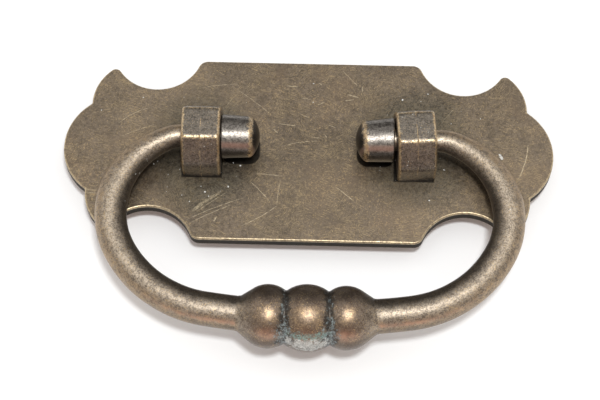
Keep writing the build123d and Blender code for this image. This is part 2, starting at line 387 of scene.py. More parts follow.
# Where the other pieces' painted shade lies on the plate: the circle that the bail's arms follow over the
# plate, mirrored about the bail's own middle; the shade round a post; and the shade under a knob
bail_shift = 0.75 * mm
arm_ring_centre = (26.09 * mm, -19.78 * mm, 0.0)
arm_ring_radius = 20.6 * mm
post_shade = (post_x, 4.0 * mm, 0.0)
knob_shade_x, knob_shade_y = 16.3 * mm, -0.2 * mm
knob_shade_half_x, knob_shade_half_y = 1.8 * mm, 1.3 * mm
knob_shade_round = 2.4 * mm
dull_middle = (2.0 * mm, -7.0 * mm, plate_top)
white_fleck = {"From": (46.1 * mm, 0.1 * mm, plate_top), "To": (47.0 * mm, -1.6 * mm, plate_top)}
plate_dark = (0.090, 0.073, 0.056)
plate_mid = (0.195, 0.156, 0.118)
plate_pale = (0.36, 0.290, 0.215)
brass_bare = (0.60, 0.43, 0.215)
salt_white = (0.72, 0.73, 0.71)

plate_metal, t, shader, where = new_material("plate_metal", (0.33, 0.28, 0.20))
cloud, grain, glint, skin = use(t, patina_grain, Vector=where, Cloud_Scale=85.0, Grain_Scale=2900.0)
x, y, z = parts_of(t, where)
on_face = ramp(t, z, 2.2 * mm, 2.4 * mm)
side = times(t, ramp(t, z, 2.25 * mm, 1.8 * mm), ramp(t, z, 0.02 * mm, 0.15 * mm))
wide = noise(t, where, 26.0, 2.0, 0.5)
warm = ramp(t, noise(t, where, 62.0, 3.0, 0.6), 0.48, 0.68, 0.0, 0.45)
from_middle = vector_maths(t, "DISTANCE", where, dull_middle)
haze = marks = 0.0
for angle, length, width, seed in (
    (0.06, 2.6, 0.15, 1.0), (-0.30, 1.8, 0.13, 2.0), (0.45, 3.0, 0.14, 3.0), (-0.95, 1.6, 0.14, 4.0),
    (1.35, 1.2, 0.13, 5.0),
):
    streaks = use(t, rub_haze, Vector=where, Angle=angle, Length=length * mm, Width=width * mm, Seed=seed)
    haze = greatest(t, haze, streaks["Streaks"])
flat = vector_maths(t, "MULTIPLY", where, (1.0, 1.0, 0.0))
for x1, y1, x2, y2, bow, width, strength in plate_scratches:
    ends = {"From": (x1 * mm, y1 * mm, 0.0), "To": (x2 * mm, y2 * mm, 0.0)}
    stroke = use(t, scratch, Vector=flat, Bow=bow * mm, Width=width * mm, **ends)["Stroke"]
    marks = greatest(t, marks, times(t, stroke, strength))
marks = times(t, marks, on_face)
rim = use(t, rim_distance, Vector=where)["Distance"]
near_rim = times(t, ramp(t, rim, 0.62 * mm, 0.22 * mm), ramp(t, z, 1.9 * mm, 2.3 * mm))
worn = ramp(t, plus(t, near_rim, times(t, noise(t, where, 1500.0, 3.0, 0.6), 1.8)), 1.42, 2.10)
# Darker round the posts and under the knobs, partly unrubbed patina and partly painted shade, and more salt
# there
mirrored = vector_maths(t, "ABSOLUTE", where)
by_post = vector_maths(t, "DISTANCE", mirrored, post_shade)
by_post = plus(t, by_post, times(t, wide, 9 * mm))
post_shade_and_patina = times(t, ramp(t, by_post, 21 * mm, 11 * mm, 0.0, 0.6), on_face)
# Painted shadow, black, under the bail's arms: a ring under each arm, between the post and the rim
arm_x = apart(t, x, bail_shift)
from_arm = vector_maths(t, "DISTANCE", joined(t, arm_x, y), arm_ring_centre)
ragged = times(t, minus(t, noise(t, where, 330.0, 4.0, 0.65), 0.5), 2.6 * mm)
from_arm = plus(t, apart(t, from_arm, arm_ring_radius), ragged)
arm_shadow = times(t, ramp(t, from_arm, 3.6 * mm, 1.5 * mm), ramp(t, arm_x, 29 * mm, 31 * mm))
arm_shadow = times(t, arm_shadow, ramp(t, y, -19 * mm, -11 * mm), on_face)
# Black painted shade along the posts' feet and painted shadow under the knobs, where the distance from a
# rounded rectangle is small
mirrored_x, mirrored_y, _ = parts_of(t, mirrored)
by_foot = greatest(t, minus(t, apart(t, mirrored_x, post_x), post_width / 2), minus(t, mirrored_y, post_foot))
knob_x = minus(t, apart(t, mirrored_x, knob_shade_x), knob_shade_half_x)
knob_y = minus(t, apart(t, y, knob_shade_y), knob_shade_half_y)
by_knob = joined(t, greatest(t, knob_x, 0.0), greatest(t, knob_y, 0.0))
by_knob = minus(t, vector_maths(t, "LENGTH", by_knob), knob_shade_round)
by_painted_shade = maths(t, "MINIMUM", plus(t, by_foot, 0.1 * mm), by_knob)
dirt_and_shade = times(t, ramp(t, by_painted_shade, 0.55 * mm, 0.20 * mm, 0.0, 0.9), on_face)
amount = times(t, ramp(t, by_post, 21 * mm, 11 * mm, 0.005, 0.16), on_face)
crumbs = use(t, salt, Vector=where, Amount=amount)["Crumbs"]
fleck = use(t, scratch, Vector=where, Width=0.45 * mm, **white_fleck)["Stroke"]
crumbs = greatest(t, crumbs, times(t, ramp(t, fleck, 0.05, 0.14), on_face))
colour = blend(t, cloud, plate_dark, plate_mid)
colour = grained(t, grain, colour, (0.50, plate_dark), (0.42, plate_pale))
# The coats include painted shade round the posts, a painted shadow under the bail's arms, and painted shade
# along the posts' feet and under the knobs
colour = coats(
    t, colour,
    (warm, (0.235, 0.170, 0.112)),
    (times(t, ramp(t, wide, 0.35, 0.7), 0.22), plate_pale),
    (ramp(t, from_middle, 27 * mm, 8 * mm, 0.0, 0.26), plate_dark),
    (times(t, haze, 0.72), (0.52, 0.40, 0.23)),
    (times(t, glint, 0.35), brass_bare),
    (marks, (0.74, 0.62, 0.42)),
    (times(t, side, 0.96), (0.030, 0.026, 0.022)),
    (times(t, worn, 0.85), (0.60, 0.49, 0.32)),
    (post_shade_and_patina, blend(t, grain, (0.036, 0.036, 0.029), (0.120, 0.115, 0.088))),
    (times(t, arm_shadow, 0.58), (0.016, 0.015, 0.013)),
    (dirt_and_shade, (0.010, 0.009, 0.008)),
    (crumbs, salt_white),
)
roughness = ramp(t, minus(t, grain, marks), -0.4, 1.0, 0.28, 0.42)
dress(t, shader, colour, greatest(t, times(t, side, 0.7), roughness), crumbs, skin, 0.35, 0.12 * mm)
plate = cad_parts["back_plate"]
plate.data.materials.clear()
plate.data.materials.append(plate_metal)


# Posts
# Two small cast posts of faceted section, drafted both ways from the mould's seam, bored across for the bail
# and riveted through the plate by a stake, which is tapped from behind for the fixing screw.
post_point = 8.3 * mm
post_flat = 4.15 * mm
pivot_above_plate = 6.1 * mm
post_crown = 13.288 * mm
post_draft = math.tan(math.radians(1.5))
post_edge = 0.8 * mm
post_bend = 1.25 * mm
post_upper = 9.1 * mm
flash_height = 0.07 * mm
flash_width = 0.16 * mm
pivot_height = plate_top + pivot_above_plate
bore_radius = 2.73 * mm
bore_flare = 0.25 * mm
stake_radius = 3.2 * mm
stake_head_radius = 4.0 * mm
stake_head_depth = 0.8 * mm
stake_mouth = 2.3 * mm
hammered_width = 1.6 * mm
thread_minor = 1.65 * mm
thread_major = 1.98 * mm
thread_pitch = 0.7 * mm
thread_end = 4.0 * mm
drill_tip = 5.07 * mm
sharp_angle = math.radians(32.0)


def running(parts):
    """One array from several, end to end."""
    return np.concatenate([np.atleast_1d(p) for p in parts])


def sheet_quads(rows, columns, closed, start):
    """Corner numbers of the quads between rings of points, whose last ring may meet the first."""
    i = np.arange(rows if closed else rows - 1)[:, None]
    j = np.arange(columns)[None, :]
    i_next, j_next = (i + 1) % rows, (j + 1) % columns
    corners = (i * columns + j, i * columns + j_next, i_next * columns + j_next, i_next * columns + j)
    return np.stack(np.broadcast_arrays(*corners), axis=-1) + start


def solid_piece(name, sheets, marks):
    """An object from sheets of rings, joined where they meet. A sheet holds its points, an array of rings,
    places on them and x, y, z; whether its last ring meets its first; its quads left out; and its marks.
    """
    points, faces, values, start = [], [], {m: [] for m in marks}, 0
    for sheet in sheets:
        p = sheet["points"]
        rows, columns = p.shape[:2]
        quads = sheet_quads(rows, columns, sheet.get("closed", False), start)
        kept = ~sheet["left_out"] if "left_out" in sheet else np.ones(quads.shape[:2], bool)
        faces.append(quads[kept])
        points.append(p.reshape(-1, 3))
        for m in marks:
            values[m].append(np.broadcast_to(sheet.get(m, 0.0), (rows, columns)).ravel())
        start += rows * columns
    used, quads = np.unique(np.concatenate(faces), return_inverse=True)
    mesh = bpy.data.meshes.new(name)
    mesh.from_pydata(np.concatenate(points)[used], [], quads.reshape(-1, 4))
    for m in marks:
        kept_values = np.concatenate(values[m])[used].astype(np.float32)
        mesh.attributes.new(m, "FLOAT", "POINT").data.foreach_set("value", kept_values)
    work = bmesh.new()
    work.from_mesh(mesh)
    bmesh.ops.remove_doubles(work, verts=work.verts, dist=0.0005 * mm)
    bmesh.ops.recalc_face_normals(work, faces=work.faces)
    work.to_mesh(mesh)
    work.free()
    mesh.shade_smooth()
    mesh.set_sharp_from_angle(angle=sharp_angle)
    made = bpy.data.objects.new(name, mesh)
    bpy.context.scene.collection.objects.link(made)
    return made


def rounded_outline(corners, setback, bend_points, spacing):
    """Open outline through corners, each inner one rounded by a parabola that leaves and meets the straight
    sides a setback from it: (points, distance of each from the nearest inner corner).
    """
    ways = np.diff(corners, axis=0)
    lengths = np.hypot(*ways.T)
    units = ways / lengths[:, None]
    parts = []
    for k, (way, length) in enumerate(zip(units, lengths)):
        begin = 0.0 if k == 0 else setback
        end = length if k == len(units) - 1 else length - setback
        stops = np.linspace(begin, end, max(int((end - begin) / spacing), 2) + 1)
        parts.append(corners[k] + way * stops[:, None])
        if k < len(units) - 1:
            t = np.linspace(0, 1, bend_points + 2)[1:-1, None]
            before, at, after = parts[-1][-1], corners[k + 1], corners[k + 1] + units[k + 1] * setback
            parts.append((1 - t) ** 2 * before + 2 * t * (1 - t) * at + t**2 * after)
    points = np.concatenate(parts)
    gaps = points[:, None, :] - corners[None, 1:-1, :]
    return points, np.hypot(gaps[..., 0], gaps[..., 1]).min(axis=1)


def ripples(u, v, seed):
    """Uneven casting, mostly from 0 to 1: a mean of eight plane waves, their ways and phases from a seed."""
    luck = np.random.default_rng(seed).uniform(-1, 1, (8, 3))
    waves = [np.sin(2 * np.pi * (a * u + b * v + c)) for a, b, c in luck]
    return 0.5 + 0.8 * np.mean(waves, axis=0)


def bell(value, middle, width, power=2):
    """exp(-((value - middle) / width)^power), from 1 at the middle towards 0."""
    return np.exp(-(((value - middle) / width) ** power))


def post_piece(name, side, turn):
    """Cast post: its faceted section carried across the width, shrinking from the seam by the draft and round
    its end edges, then over the end faces into the bore; and its seat, stake, stake head and tapped hole,
    which are circles about the upright axis.
    """
    half = post_width / 2
    corners = np.array((
        (post_foot, 0), (post_point, pivot_above_plate), (post_flat, post_crown),
        (-post_flat, post_crown), (-post_point, pivot_above_plate), (-post_foot, 0),
    ))
    shell, from_corner = rounded_outline(corners, post_bend, 10, 0.4 * mm)
    slope = np.gradient(shell, axis=0)
    normal = np.stack((slope[:, 1], -slope[:, 0]), axis=1)
    normal /= np.hypot(*normal.T)[:, None]
    normal[0], normal[-1] = (1, 0), (-1, 0)
    seat_y = np.linspace(-post_foot, post_foot, 26)[1:-1]
    outline = np.concatenate((shell, np.stack((seat_y, 0 * seat_y), axis=1)))
    normal = np.concatenate((normal, np.stack((seat_y / post_foot, 0 * seat_y), axis=1)))
    from_corner = running((from_corner, np.full(len(seat_y), 9 * mm)))
    shell_count = len(shell)
    # Rows over the flanks: distance from the seam, and how far the rounded end edge draws the section in
    arc = np.linspace(0, np.pi / 2, 7)
    straight = running((np.arange(0, 0.36, 0.04), np.linspace(0.42, (half - post_edge) / mm, 9)[:-1])) * mm
    out_way = running((straight, half - post_edge + post_edge * np.sin(arc)))
    drawn_in = running((0 * straight, post_edge * (1 - np.cos(arc))))
    across = running((-out_way[:0:-1], out_way))
    drawn_in = running((drawn_in[:0:-1], drawn_in))
    length_way = np.cumsum(np.hypot(*np.diff(outline, axis=0, prepend=outline[:1]).T))
    broken = np.clip(3.2 * ripples(length_way[None] / mm / 3.1, 0.0, 11 + side) - 1.1, 0, 1)
    flash = bell(across[:, None], 0.0, 0.5 * flash_width) * broken
    cast = 0.035 * mm * ripples(across[:, None] / mm / 5.0, length_way[None] / mm / 6.0, 5 + side)
    inset = drawn_in[:, None] + np.abs(across[:, None]) * post_draft + flash_height * (1 - flash) + cast
    flanks = outline[None] - normal[None] * inset[..., None]
    flanks[:, :shell_count, 1] = np.clip(flanks[:, :shell_count, 1], 0, None)
    flanks[:, (0, shell_count - 1), 1] = 0

    def place(x, y, z):
        """A point of the post's own frame, turned about the upright axis and set on the plate."""
        c, s = math.cos(turn), math.sin(turn)
        x, y = side * post_x + c * x - s * y, s * x + c * y
        return np.stack(np.broadcast_arrays(x, y, plate_top + z), axis=-1)

    def bore_ring(x, radius, round_way):
        """Circle of the bore about the pivot line, cut at a distance x along the post's own width."""
        y = radius * np.cos(round_way)
        along = (x - math.sin(turn) * y) / math.cos(turn)
        return np.stack((side * post_x + along, y, pivot_height + radius * np.sin(round_way)), axis=-1)

    rows = [place(across[:, None], flanks[..., 0], flanks[..., 1])]
    ends = {}
    for edge, x in ((-1, half), (0, -half)):
        ring = rows[0][edge]
        round_way = np.arctan2(ring[:, 2] - pivot_height, ring[:, 1])
        mouth = bore_ring(x, bore_radius + bore_flare, round_way)
        ends[edge] = [ring + (mouth - ring) * k for k in (0.12, 0.35, 0.65, 1.0)], round_way
    near_end, near_way = ends[-1]
    far_end, far_way = ends[0]
    walls = [bore_ring(x, bore_radius, near_way) for x in (half - bore_flare, 0.3 * half)]
    walls += [bore_ring(x, bore_radius, far_way) for x in (-0.3 * half, -half + bore_flare)]
    body = np.concatenate(rows + [np.array(near_end + walls + far_end[::-1])])
    flank_count = len(across)
    left_out = np.zeros((len(body), body.shape[1]), bool)
    left_out[:flank_count - 1, shell_count - 1:] = True
    end_edge = np.abs(np.abs(across) - (half - 0.35 * post_edge))
    crown = outline[:, 1] > post_upper
    corner_gap = np.where(crown, 0.62 * from_corner, from_corner + 0.5 * mm)
    near_edge = np.minimum(end_edge[:, None], corner_gap[None])
    rub = np.zeros(body.shape[:2])
    rub[:flank_count] = bell(near_edge, 0.0, 0.42 * mm)
    seam = np.zeros(body.shape[:2])
    seam[:flank_count] = flash

    # Seat, stake and tapped hole
    last, corner = flank_count - 1, shell_count - 1
    under = np.arange(shell_count, body.shape[1])
    loop = np.concatenate((
        body[:last, 0],
        body[last, running((0, under[::-1]))],
        body[last:0:-1, corner],
        body[0, running((corner, under))],
    ))
    way = np.arctan2(loop[:, 1], loop[:, 0] - side * post_x)

    def ring(radius, z):
        """Circle about the stake's axis at a height above the plate's back."""
        x, y = side * post_x + radius * np.cos(way), radius * np.sin(way)
        return np.stack(np.broadcast_arrays(x, y, np.asarray(z, float)), axis=-1)

    hammered = 0.09 * mm * ripples(np.cos(way) * 1.1, np.sin(way) * 1.1, 30 + side)
    rings = [loop, loop + (ring(stake_radius, plate_top) - loop) * 0.5, ring(stake_radius, plate_top)]
    rings += [ring(stake_radius, stake_head_depth), ring(stake_head_radius - 0.05 * mm, 0.05 * mm)]
    rings += [ring(stake_head_radius - 0.2 * mm, 0.0)]
    for k in (0.75, 0.5625, 0.375, 0.1875):
        rings.append(ring(stake_mouth + k * hammered_width, hammered * math.sin(math.pi * k)))
    rings += [ring(stake_mouth, 0.0), ring(thread_major, 0.3 * mm)]
    for z in np.arange(0.35 * mm, thread_end, thread_pitch / 8):
        phase = (z / thread_pitch - way / (2 * np.pi)) % 1.0
        tooth = np.clip(1.5 - np.abs(4 * phase - 2) * 1.25, 0, 1)
        rings.append(ring(thread_major + (thread_minor - thread_major) * tooth, z))
    rings += [ring(thread_minor, thread_end + 0.1 * mm), ring(0.0, drill_tip)]
    stake = {"points": np.array(rings)}
    shell_sheet = {"points": body, "closed": True, "left_out": left_out, "rub": rub, "seam": seam}
    return solid_piece(name, [shell_sheet, stake], ("rub", "seam"))


def painted(tree, *names):
    """The values that a mesh keeps at its points under some names."""
    return [add(tree, "ShaderNodeAttribute", attribute_name=name).outputs["Fac"] for name in names]


post_metal, t, shader, where = new_material("post_metal", (0.24, 0.20, 0.16))
cloud, grain, glint, skin = use(t, patina_grain, Vector=where, Cloud_Scale=320.0, Grain_Scale=2800.0)
rub, seam = painted(t, "rub", "seam")
height = parts_of(t, where)[2]
breakup = minus(t, noise(t, where, 1400.0, 4.0, 0.75), 0.5)
worn = ramp(t, plus(t, rub, times(t, breakup, 2.6)), 0.38, 0.95)
worn = greatest(t, worn, ramp(t, plus(t, seam, times(t, breakup, 2.0)), 0.2, 0.7, 0.0, 0.9))
crumbs = use(t, salt, Vector=where, Amount=0.13)["Crumbs"]
# Below the crown the faces are turned reddish, a painted reflection of warm light from the front, and the low
# faces grey, a painted reflection of the plate in front of them
colour = coats(
    t, blend(t, cloud, (0.115, 0.106, 0.092), (0.245, 0.224, 0.194)),
    (ramp(t, height, 15.6 * mm, 15.0 * mm, 0.0, 0.45), (0.115, 0.080, 0.070)),
    (ramp(t, height, 9.0 * mm, 8.3 * mm, 0.0, 0.5), (0.105, 0.104, 0.096)),
)
dark, pale = (0.6, (0.06, 0.052, 0.046)), (0.5, (0.42, 0.36, 0.29))
colour = coats(
    t, grained(t, times(t, grain, 0.8), colour, dark, pale),
    (times(t, glint, 0.3), brass_bare),
    (times(t, worn, 0.9), blend(t, grain, (0.40, 0.26, 0.13), (0.66, 0.53, 0.34))),
    (crumbs, salt_white),
)
dress(t, shader, colour, ramp(t, worn, 0.0, 1.0, 0.42, 0.32), crumbs, skin, 0.5, 0.15 * mm)
for name, side, turn in (("left_post_cast", -1, 0.0), ("right_post_cast", 1, math.radians(4.5))):
    post = post_piece(name, side, turn)
    post.data.materials.append(post_metal)
    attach(post, "fixed_plate")
    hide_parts(name.removesuffix("_cast"))


# Bail
# One brass casting: a round rod that thins towards the posts, three beads turned on its bar, and at each end
# a journal in the post's bore and a thinner spigot for the knob. Rubbed by the hand, green in the grooves.
shoulder_x = {-1: 20.75 * mm, 1: 20.4 * mm}
spigot_length = 5.6 * mm
spigot_radius = 2.0 * mm
rod_start_x = 30.2 * mm
journal_radius = 2.65 * mm
rod_radius = 3.8 * mm
hip_end_radius = 4.0 * mm
bar_radius = 4.1 * mm
bail_drop = 46.001 * mm
centre_bead = 7.8 * mm
centre_bead_round = 8.5 * mm
outer_bead = 7.4 * mm
outer_bead_round = 6.6 * mm
outer_bead_offset = 9.0 * mm
outer_bead_flank = math.radians(36.0)
outer_bead_foot = 1.2 * mm
rest_tilt = math.asin((pivot_height - centre_bead) / bail_drop)
# Radius in millimetres and turn in degrees of each arc from the middle of the bar to the post
bail_arcs = ((161.409, 8.3), (28.3, 54.9), (20.6, 94.2), (9.9, 22.6))
arcs = np.array([(arc_radius * math.radians(turn), turn) for arc_radius, turn in bail_arcs])
arc_ends = running((0.0, np.cumsum(arcs[:, 0]))) * mm
hip_radius, hip_turn = bail_arcs[2]
taper_turn = 55.0
journal_span = arc_ends[-1]
taper_span = arc_ends[2] + hip_radius * math.radians(hip_turn - taper_turn) * mm
bail_marks = ("groove", "crown", "outside", "green", "grey", "red_reflection", "bead", "under_shade", "specks", "top_highlight")
# The middle of a cluster of crumbs on the left arm
crumb_middle = (-39.4 * mm, -10.6 * mm, 8.5 * mm)


def bail_centre(span):
    """Centre line at signed distances from the middle of the bar: the heading turns evenly along each arc and
    the place is its running integral. Gives points and headings in the bail's own plane.
    """
    fine = np.linspace(0, journal_span + rod_start_x + bail_shift, 20001)
    heading = np.interp(fine, arc_ends, np.radians(running((0.0, np.cumsum(arcs[:, 1])))))
    step = fine[1]
    x = running((0.0, np.cumsum(np.cos((heading[1:] + heading[:-1]) / 2)) * step))
    y = running((0.0, np.cumsum(np.sin((heading[1:] + heading[:-1]) / 2)) * step)) - bail_drop
    away = np.abs(span)
    place = np.stack((np.sign(span) * np.interp(away, fine, x), np.interp(away, fine, y)), axis=-1)
    return place, np.sign(span) * np.interp(away, fine, heading)


def soft_greater(a, b, width):
    """The greater of two lengths, with the corner between them rounded over a width."""
    near = np.clip(width - np.abs(a - b), 0, None) / width
    return np.maximum(a, b) + near**2 * width / 4


def bead_outline(span):
    """Radius of the bar's beads: the centre one a zone of a sphere; each outer one a round crown, then a
    straight flank, then a hollow foot tangent to the rod.
    """
    away = np.abs(span)
    centre = np.sqrt(np.clip(centre_bead_round**2 - away**2, 0, None)) + centre_bead - centre_bead_round
    flank, foot, out = outer_bead_flank, outer_bead_foot, away - outer_bead_offset
    middle = outer_bead - outer_bead_round
    crown = middle + np.sqrt(np.clip(outer_bead_round**2 - out**2, 0, None))
    flank_x, flank_y = outer_bead_round * math.sin(flank), middle + outer_bead_round * math.cos(flank)
    foot_x = flank_x + (flank_y - bar_radius) / math.tan(flank)
    hollow_end = foot_x + foot * math.tan(flank / 2)
    hollow_start = hollow_end - foot * math.sin(flank)
    straight = flank_y - (out - flank_x) * math.tan(flank)
    hollow = bar_radius + foot - np.sqrt(foot**2 - np.clip(hollow_end - out, 0, foot) ** 2)
    outer = np.where(out < flank_x, crown, np.where(out < hollow_start, straight, hollow))
    return soft_greater(centre, np.where(out > hollow_end, 0.0, outer), 0.35 * mm)


def bail_radius(span):
    """Radius along the bail: the beads, the bar and hips thinning to the rod, the rod thinning evenly to the
    journal, and past the knob's shoulder the spigot.
    """
    away = np.abs(span)
    stops = (0.0, arc_ends[1], arc_ends[2], taper_span, journal_span)
    rod = np.interp(away, stops, (bar_radius, hip_end_radius, rod_radius, rod_radius, journal_radius))
    rod = np.where(away < 18 * mm, soft_greater(rod, bead_outline(span), 0.1 * mm), rod)
    to_shoulder = np.where(span < 0, -bail_shift - shoulder_x[-1], bail_shift - shoulder_x[1])
    return np.where(away > journal_span + rod_start_x + to_shoulder, spigot_radius, rod)


def bail_piece():
    """Circles of the bail's radius carried square to its centre line from one spigot's end to the other's,
    sunk by up to a few hundredths of a millimetre where the casting is uneven.
    """
    spans = []
    for side in (-1, 1):
        shoulder = (journal_span + rod_start_x + side * bail_shift - shoulder_x[side]) / mm
        stops = running((
            np.arange(0.15, 18, 0.15),
            np.linspace(18, journal_span / mm, 128),
            np.linspace(journal_span / mm + 1, shoulder, 8),
            np.linspace(shoulder + 0.001, shoulder + spigot_length / mm, 5),
        ))
        spans.append(side * stops * mm)
    span = running((spans[0][::-1], 0.0, spans[1]))
    round_way = np.linspace(0, 2 * np.pi, 89)[:-1]
    place, heading = bail_centre(span)
    radius = bail_radius(span)
    cast = np.abs(span) < journal_span - 1 * mm
    uneven = ripples(span[:, None] / (9 * mm), np.cos(round_way) * 0.8 + np.sin(round_way) * 0.6, 3)
    uneven = uneven + 0.5 * ripples(span[:, None] / (3.2 * mm), np.sin(round_way) * 1.7, 8)
    radius = radius[:, None] - 0.045 * mm * uneven * cast[:, None]
    out_x, out_y = -np.sin(heading)[:, None], np.cos(heading)[:, None]
    x = bail_shift + place[:, :1] + radius * np.cos(round_way) * out_x
    y = place[:, 1:] + radius * np.cos(round_way) * out_y
    z = radius * np.sin(round_way)
    c, s = math.cos(rest_tilt), math.sin(rest_tilt)
    points = np.stack((x, c * y - s * z, pivot_height + s * y + c * z), axis=-1)
    caps = [np.broadcast_to(points[end].mean(axis=0), points[end].shape)[None] for end in (0, -1)]
    points = np.concatenate((caps[0], points, caps[1]))
    # Places along the bar and round it: the groove is where the beads' outline is lowest, and facing is 0
    # degrees into the loop, 90 at the top and 180 on the outer side
    fine = np.arange(3, 9, 0.01) * mm
    groove_at = fine[np.argmin(bead_outline(fine))]
    away = running((99 * mm, np.abs(span), 99 * mm))
    bead = (np.clip((bead_outline(away) - 4.3 * mm) / (3.2 * mm), 0, 1) * (away < 17 * mm))[:, None]
    facing = np.degrees(round_way)[None]
    # Verdigris creeps out of the grooves, furthest towards the outer side
    reach = (1.6 + 1.3 * bell(facing, 150, 30)) * mm
    groove = bell(away[:, None], groove_at, reach) + 0.35 * bell(away, 15.9 * mm, 1.5 * mm)[:, None]
    specks = groove * (0.6 + 0.4 * bell(facing, 150, 40))
    # Beads are rubbed on their crowns where the hand meets them, the rod all along its outer side, and near
    # the posts over its top as well
    crown = bead**2 * bell(facing, 110, 30)
    inward = np.cos(round_way)[None]
    turned = running((0.0, heading, 0.0))[:, None]
    beside, behind = np.abs(np.sin(turned)), np.clip(-np.cos(turned), 0, 1)
    outside = -inward * (1 - 0.85 * bead * (inward < 0)) + 0.32 * beside + 0.65 * behind
    # A painted highlight on the rod's top, leaning to the front, strongest on the arms
    highlight_way = np.degrees(np.arctan2(0.94, -0.33 * np.cos(turned)))
    top_highlight = bell(facing, highlight_way, 19) * (1 - bead) * (0.25 + 0.75 * np.clip(beside + behind, 0, 1))
    # The crust left on the front of the middle bead, green above and grey below
    near_middle = bell(running((0.0, span, 0.0)), 0.3 * mm, 6.2 * mm, power=4)[:, None]
    green, grey = near_middle * bell(facing, 145, 13), near_middle * bell(facing, 168, 27)
    # A painted reddish reflection in a band along the bar's lower front and in one patch on each bead, and
    # painted shade under it
    patch = bell(away, 8.6 * mm, 2.4 * mm) + 0.6 * bell(away, 0.0, 2.0 * mm) + (away > 16 * mm)
    red_reflection = bell(facing, 146, 7 + 4 * bead) * (patch * np.clip(2.5 - away / (16 * mm), 0, 1))[:, None]
    under_shade = np.clip((facing - 153) / 12, 0, 1) * np.clip((250 - facing) / 20, 0, 1)
    under_shade = under_shade * np.clip(2.2 - away / (20 * mm), 0, 1)[:, None]
    marks = dict(zip(bail_marks, (groove, crown, outside, green, grey, red_reflection, bead, under_shade, specks, top_highlight)))
    return solid_piece("bail_cast", [{"points": points, **marks}], bail_marks)


bail_metal, t, shader, where = new_material("bail_metal", (0.30, 0.25, 0.19))
cloud, grain, glint, skin = use(t, patina_grain, Vector=where, Cloud_Scale=230.0, Grain_Scale=3100.0)
groove, crown, outside, green, grey, red_reflection, bead, under_shade, specks, top_highlight = painted(t, *bail_marks)
breakup = minus(t, noise(t, where, 420.0, 4.0, 0.65), 0.5)
rubbed = plus(t, greatest(t, crown, times(t, outside, 0.9)), times(t, breakup, 1.8))
rubbed = times(t, ramp(t, rubbed, 0.5, 1.3), ramp(t, grain, 0.0, 1.0, 0.22, 0.62))
# Darker on the rod's inner side and the bar's back: partly unrubbed patina, partly painted shade
unrubbed_and_shade = ramp(t, plus(t, outside, times(t, breakup, 0.5)), 0.10, -0.35)
unrubbed_and_shade = times(t, unrubbed_and_shade, ramp(t, bead, 0.0, 1.0, 0.74, 0.50))
dirt_and_shade = ramp(t, plus(t, times(t, groove, 0.50), noise(t, where, 520.0, 5.0, 0.75, 0.6)), 0.74, 0.98)
verdigris = ramp(t, plus(t, times(t, specks, 0.30), noise(t, where, 1150.0, 4.0, 0.75)), 0.71, 0.84)
crust = ramp(t, plus(t, times(t, grey, 0.50), noise(t, where, 760.0, 5.0, 0.8, 0.8)), 0.80, 0.96)
turquoise = ramp(t, plus(t, times(t, green, 0.38), noise(t, where, 1300.0, 5.0, 0.8, 0.5)), 0.76, 0.90)
from_crumbs = vector_maths(t, "DISTANCE", where, crumb_middle)
amount = greatest(t, times(t, specks, 0.22), ramp(t, from_crumbs, 7 * mm, 2.5 * mm, 0.006, 0.42))
crumbs = use(t, salt, Vector=where, Amount=amount)["Crumbs"]
colour = blend(t, cloud, (0.150, 0.122, 0.098), (0.290, 0.240, 0.192))
colour = grained(t, grain, colour, (0.42, (0.045, 0.037, 0.030)), (0.42, (0.54, 0.47, 0.38)))
# The coats include the painted highlight on the rod's top, painted shade on its inner side and under the bar,
# and the painted reddish reflection
colour = coats(
    t, colour,
    (times(t, bead, 0.62), (0.118, 0.076, 0.056)),
    (rubbed, (0.48, 0.335, 0.19)),
    (times(t, top_highlight, ramp(t, grain, 0.1, 0.9, 0.18, 0.70)), (0.68, 0.58, 0.455)),
    (times(t, glint, 0.55), brass_bare),
    (unrubbed_and_shade, (0.035, 0.029, 0.024)),
    (times(t, under_shade, 0.42), (0.055, 0.042, 0.033)),
    (times(t, red_reflection, ramp(t, breakup, -0.2, 0.12, 0.15, 0.75)), (0.50, 0.31, 0.22)),
    (times(t, dirt_and_shade, 0.8), (0.028, 0.029, 0.030)),
    (times(t, verdigris, 0.8), blend(t, grain, (0.065, 0.080, 0.085), (0.29, 0.35, 0.36))),
    (times(t, crust, 0.9), blend(t, grain, (0.22, 0.235, 0.225), (0.62, 0.62, 0.60))),
    (times(t, turquoise, 0.8), blend(t, grain, (0.055, 0.075, 0.070), (0.21, 0.36, 0.33))),
    (crumbs, salt_white),
)
dull = greatest(t, verdigris, crumbs, crust, turquoise)
roughness = greatest(t, ramp(t, bead, 0.0, 1.0, 0.43, 0.35), times(t, dull, 0.58))
dress(t, shader, colour, roughness, dull, skin, 0.5, 0.14 * mm, loose_metal=0.05)
bail = bail_piece()
bail.data.materials.append(bail_metal)
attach(bail, "swinging_bail")
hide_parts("bail")


# Knobs
# Two turned caps with domed ends, bored and pressed on the bail's spigots to hold it in the posts. The right
# one sits a little askew. Their end corners are rubbed down to brass.
knob_radius = 5.3 * mm
knob_end_radius = 4.9 * mm
knob_barrel = 7.1 * mm
knob_length = 9.1 * mm
knob_shoulder_round = 0.3 * mm
knob_bend = 0.7 * mm
knob_bore_depth = 5.6 * mm


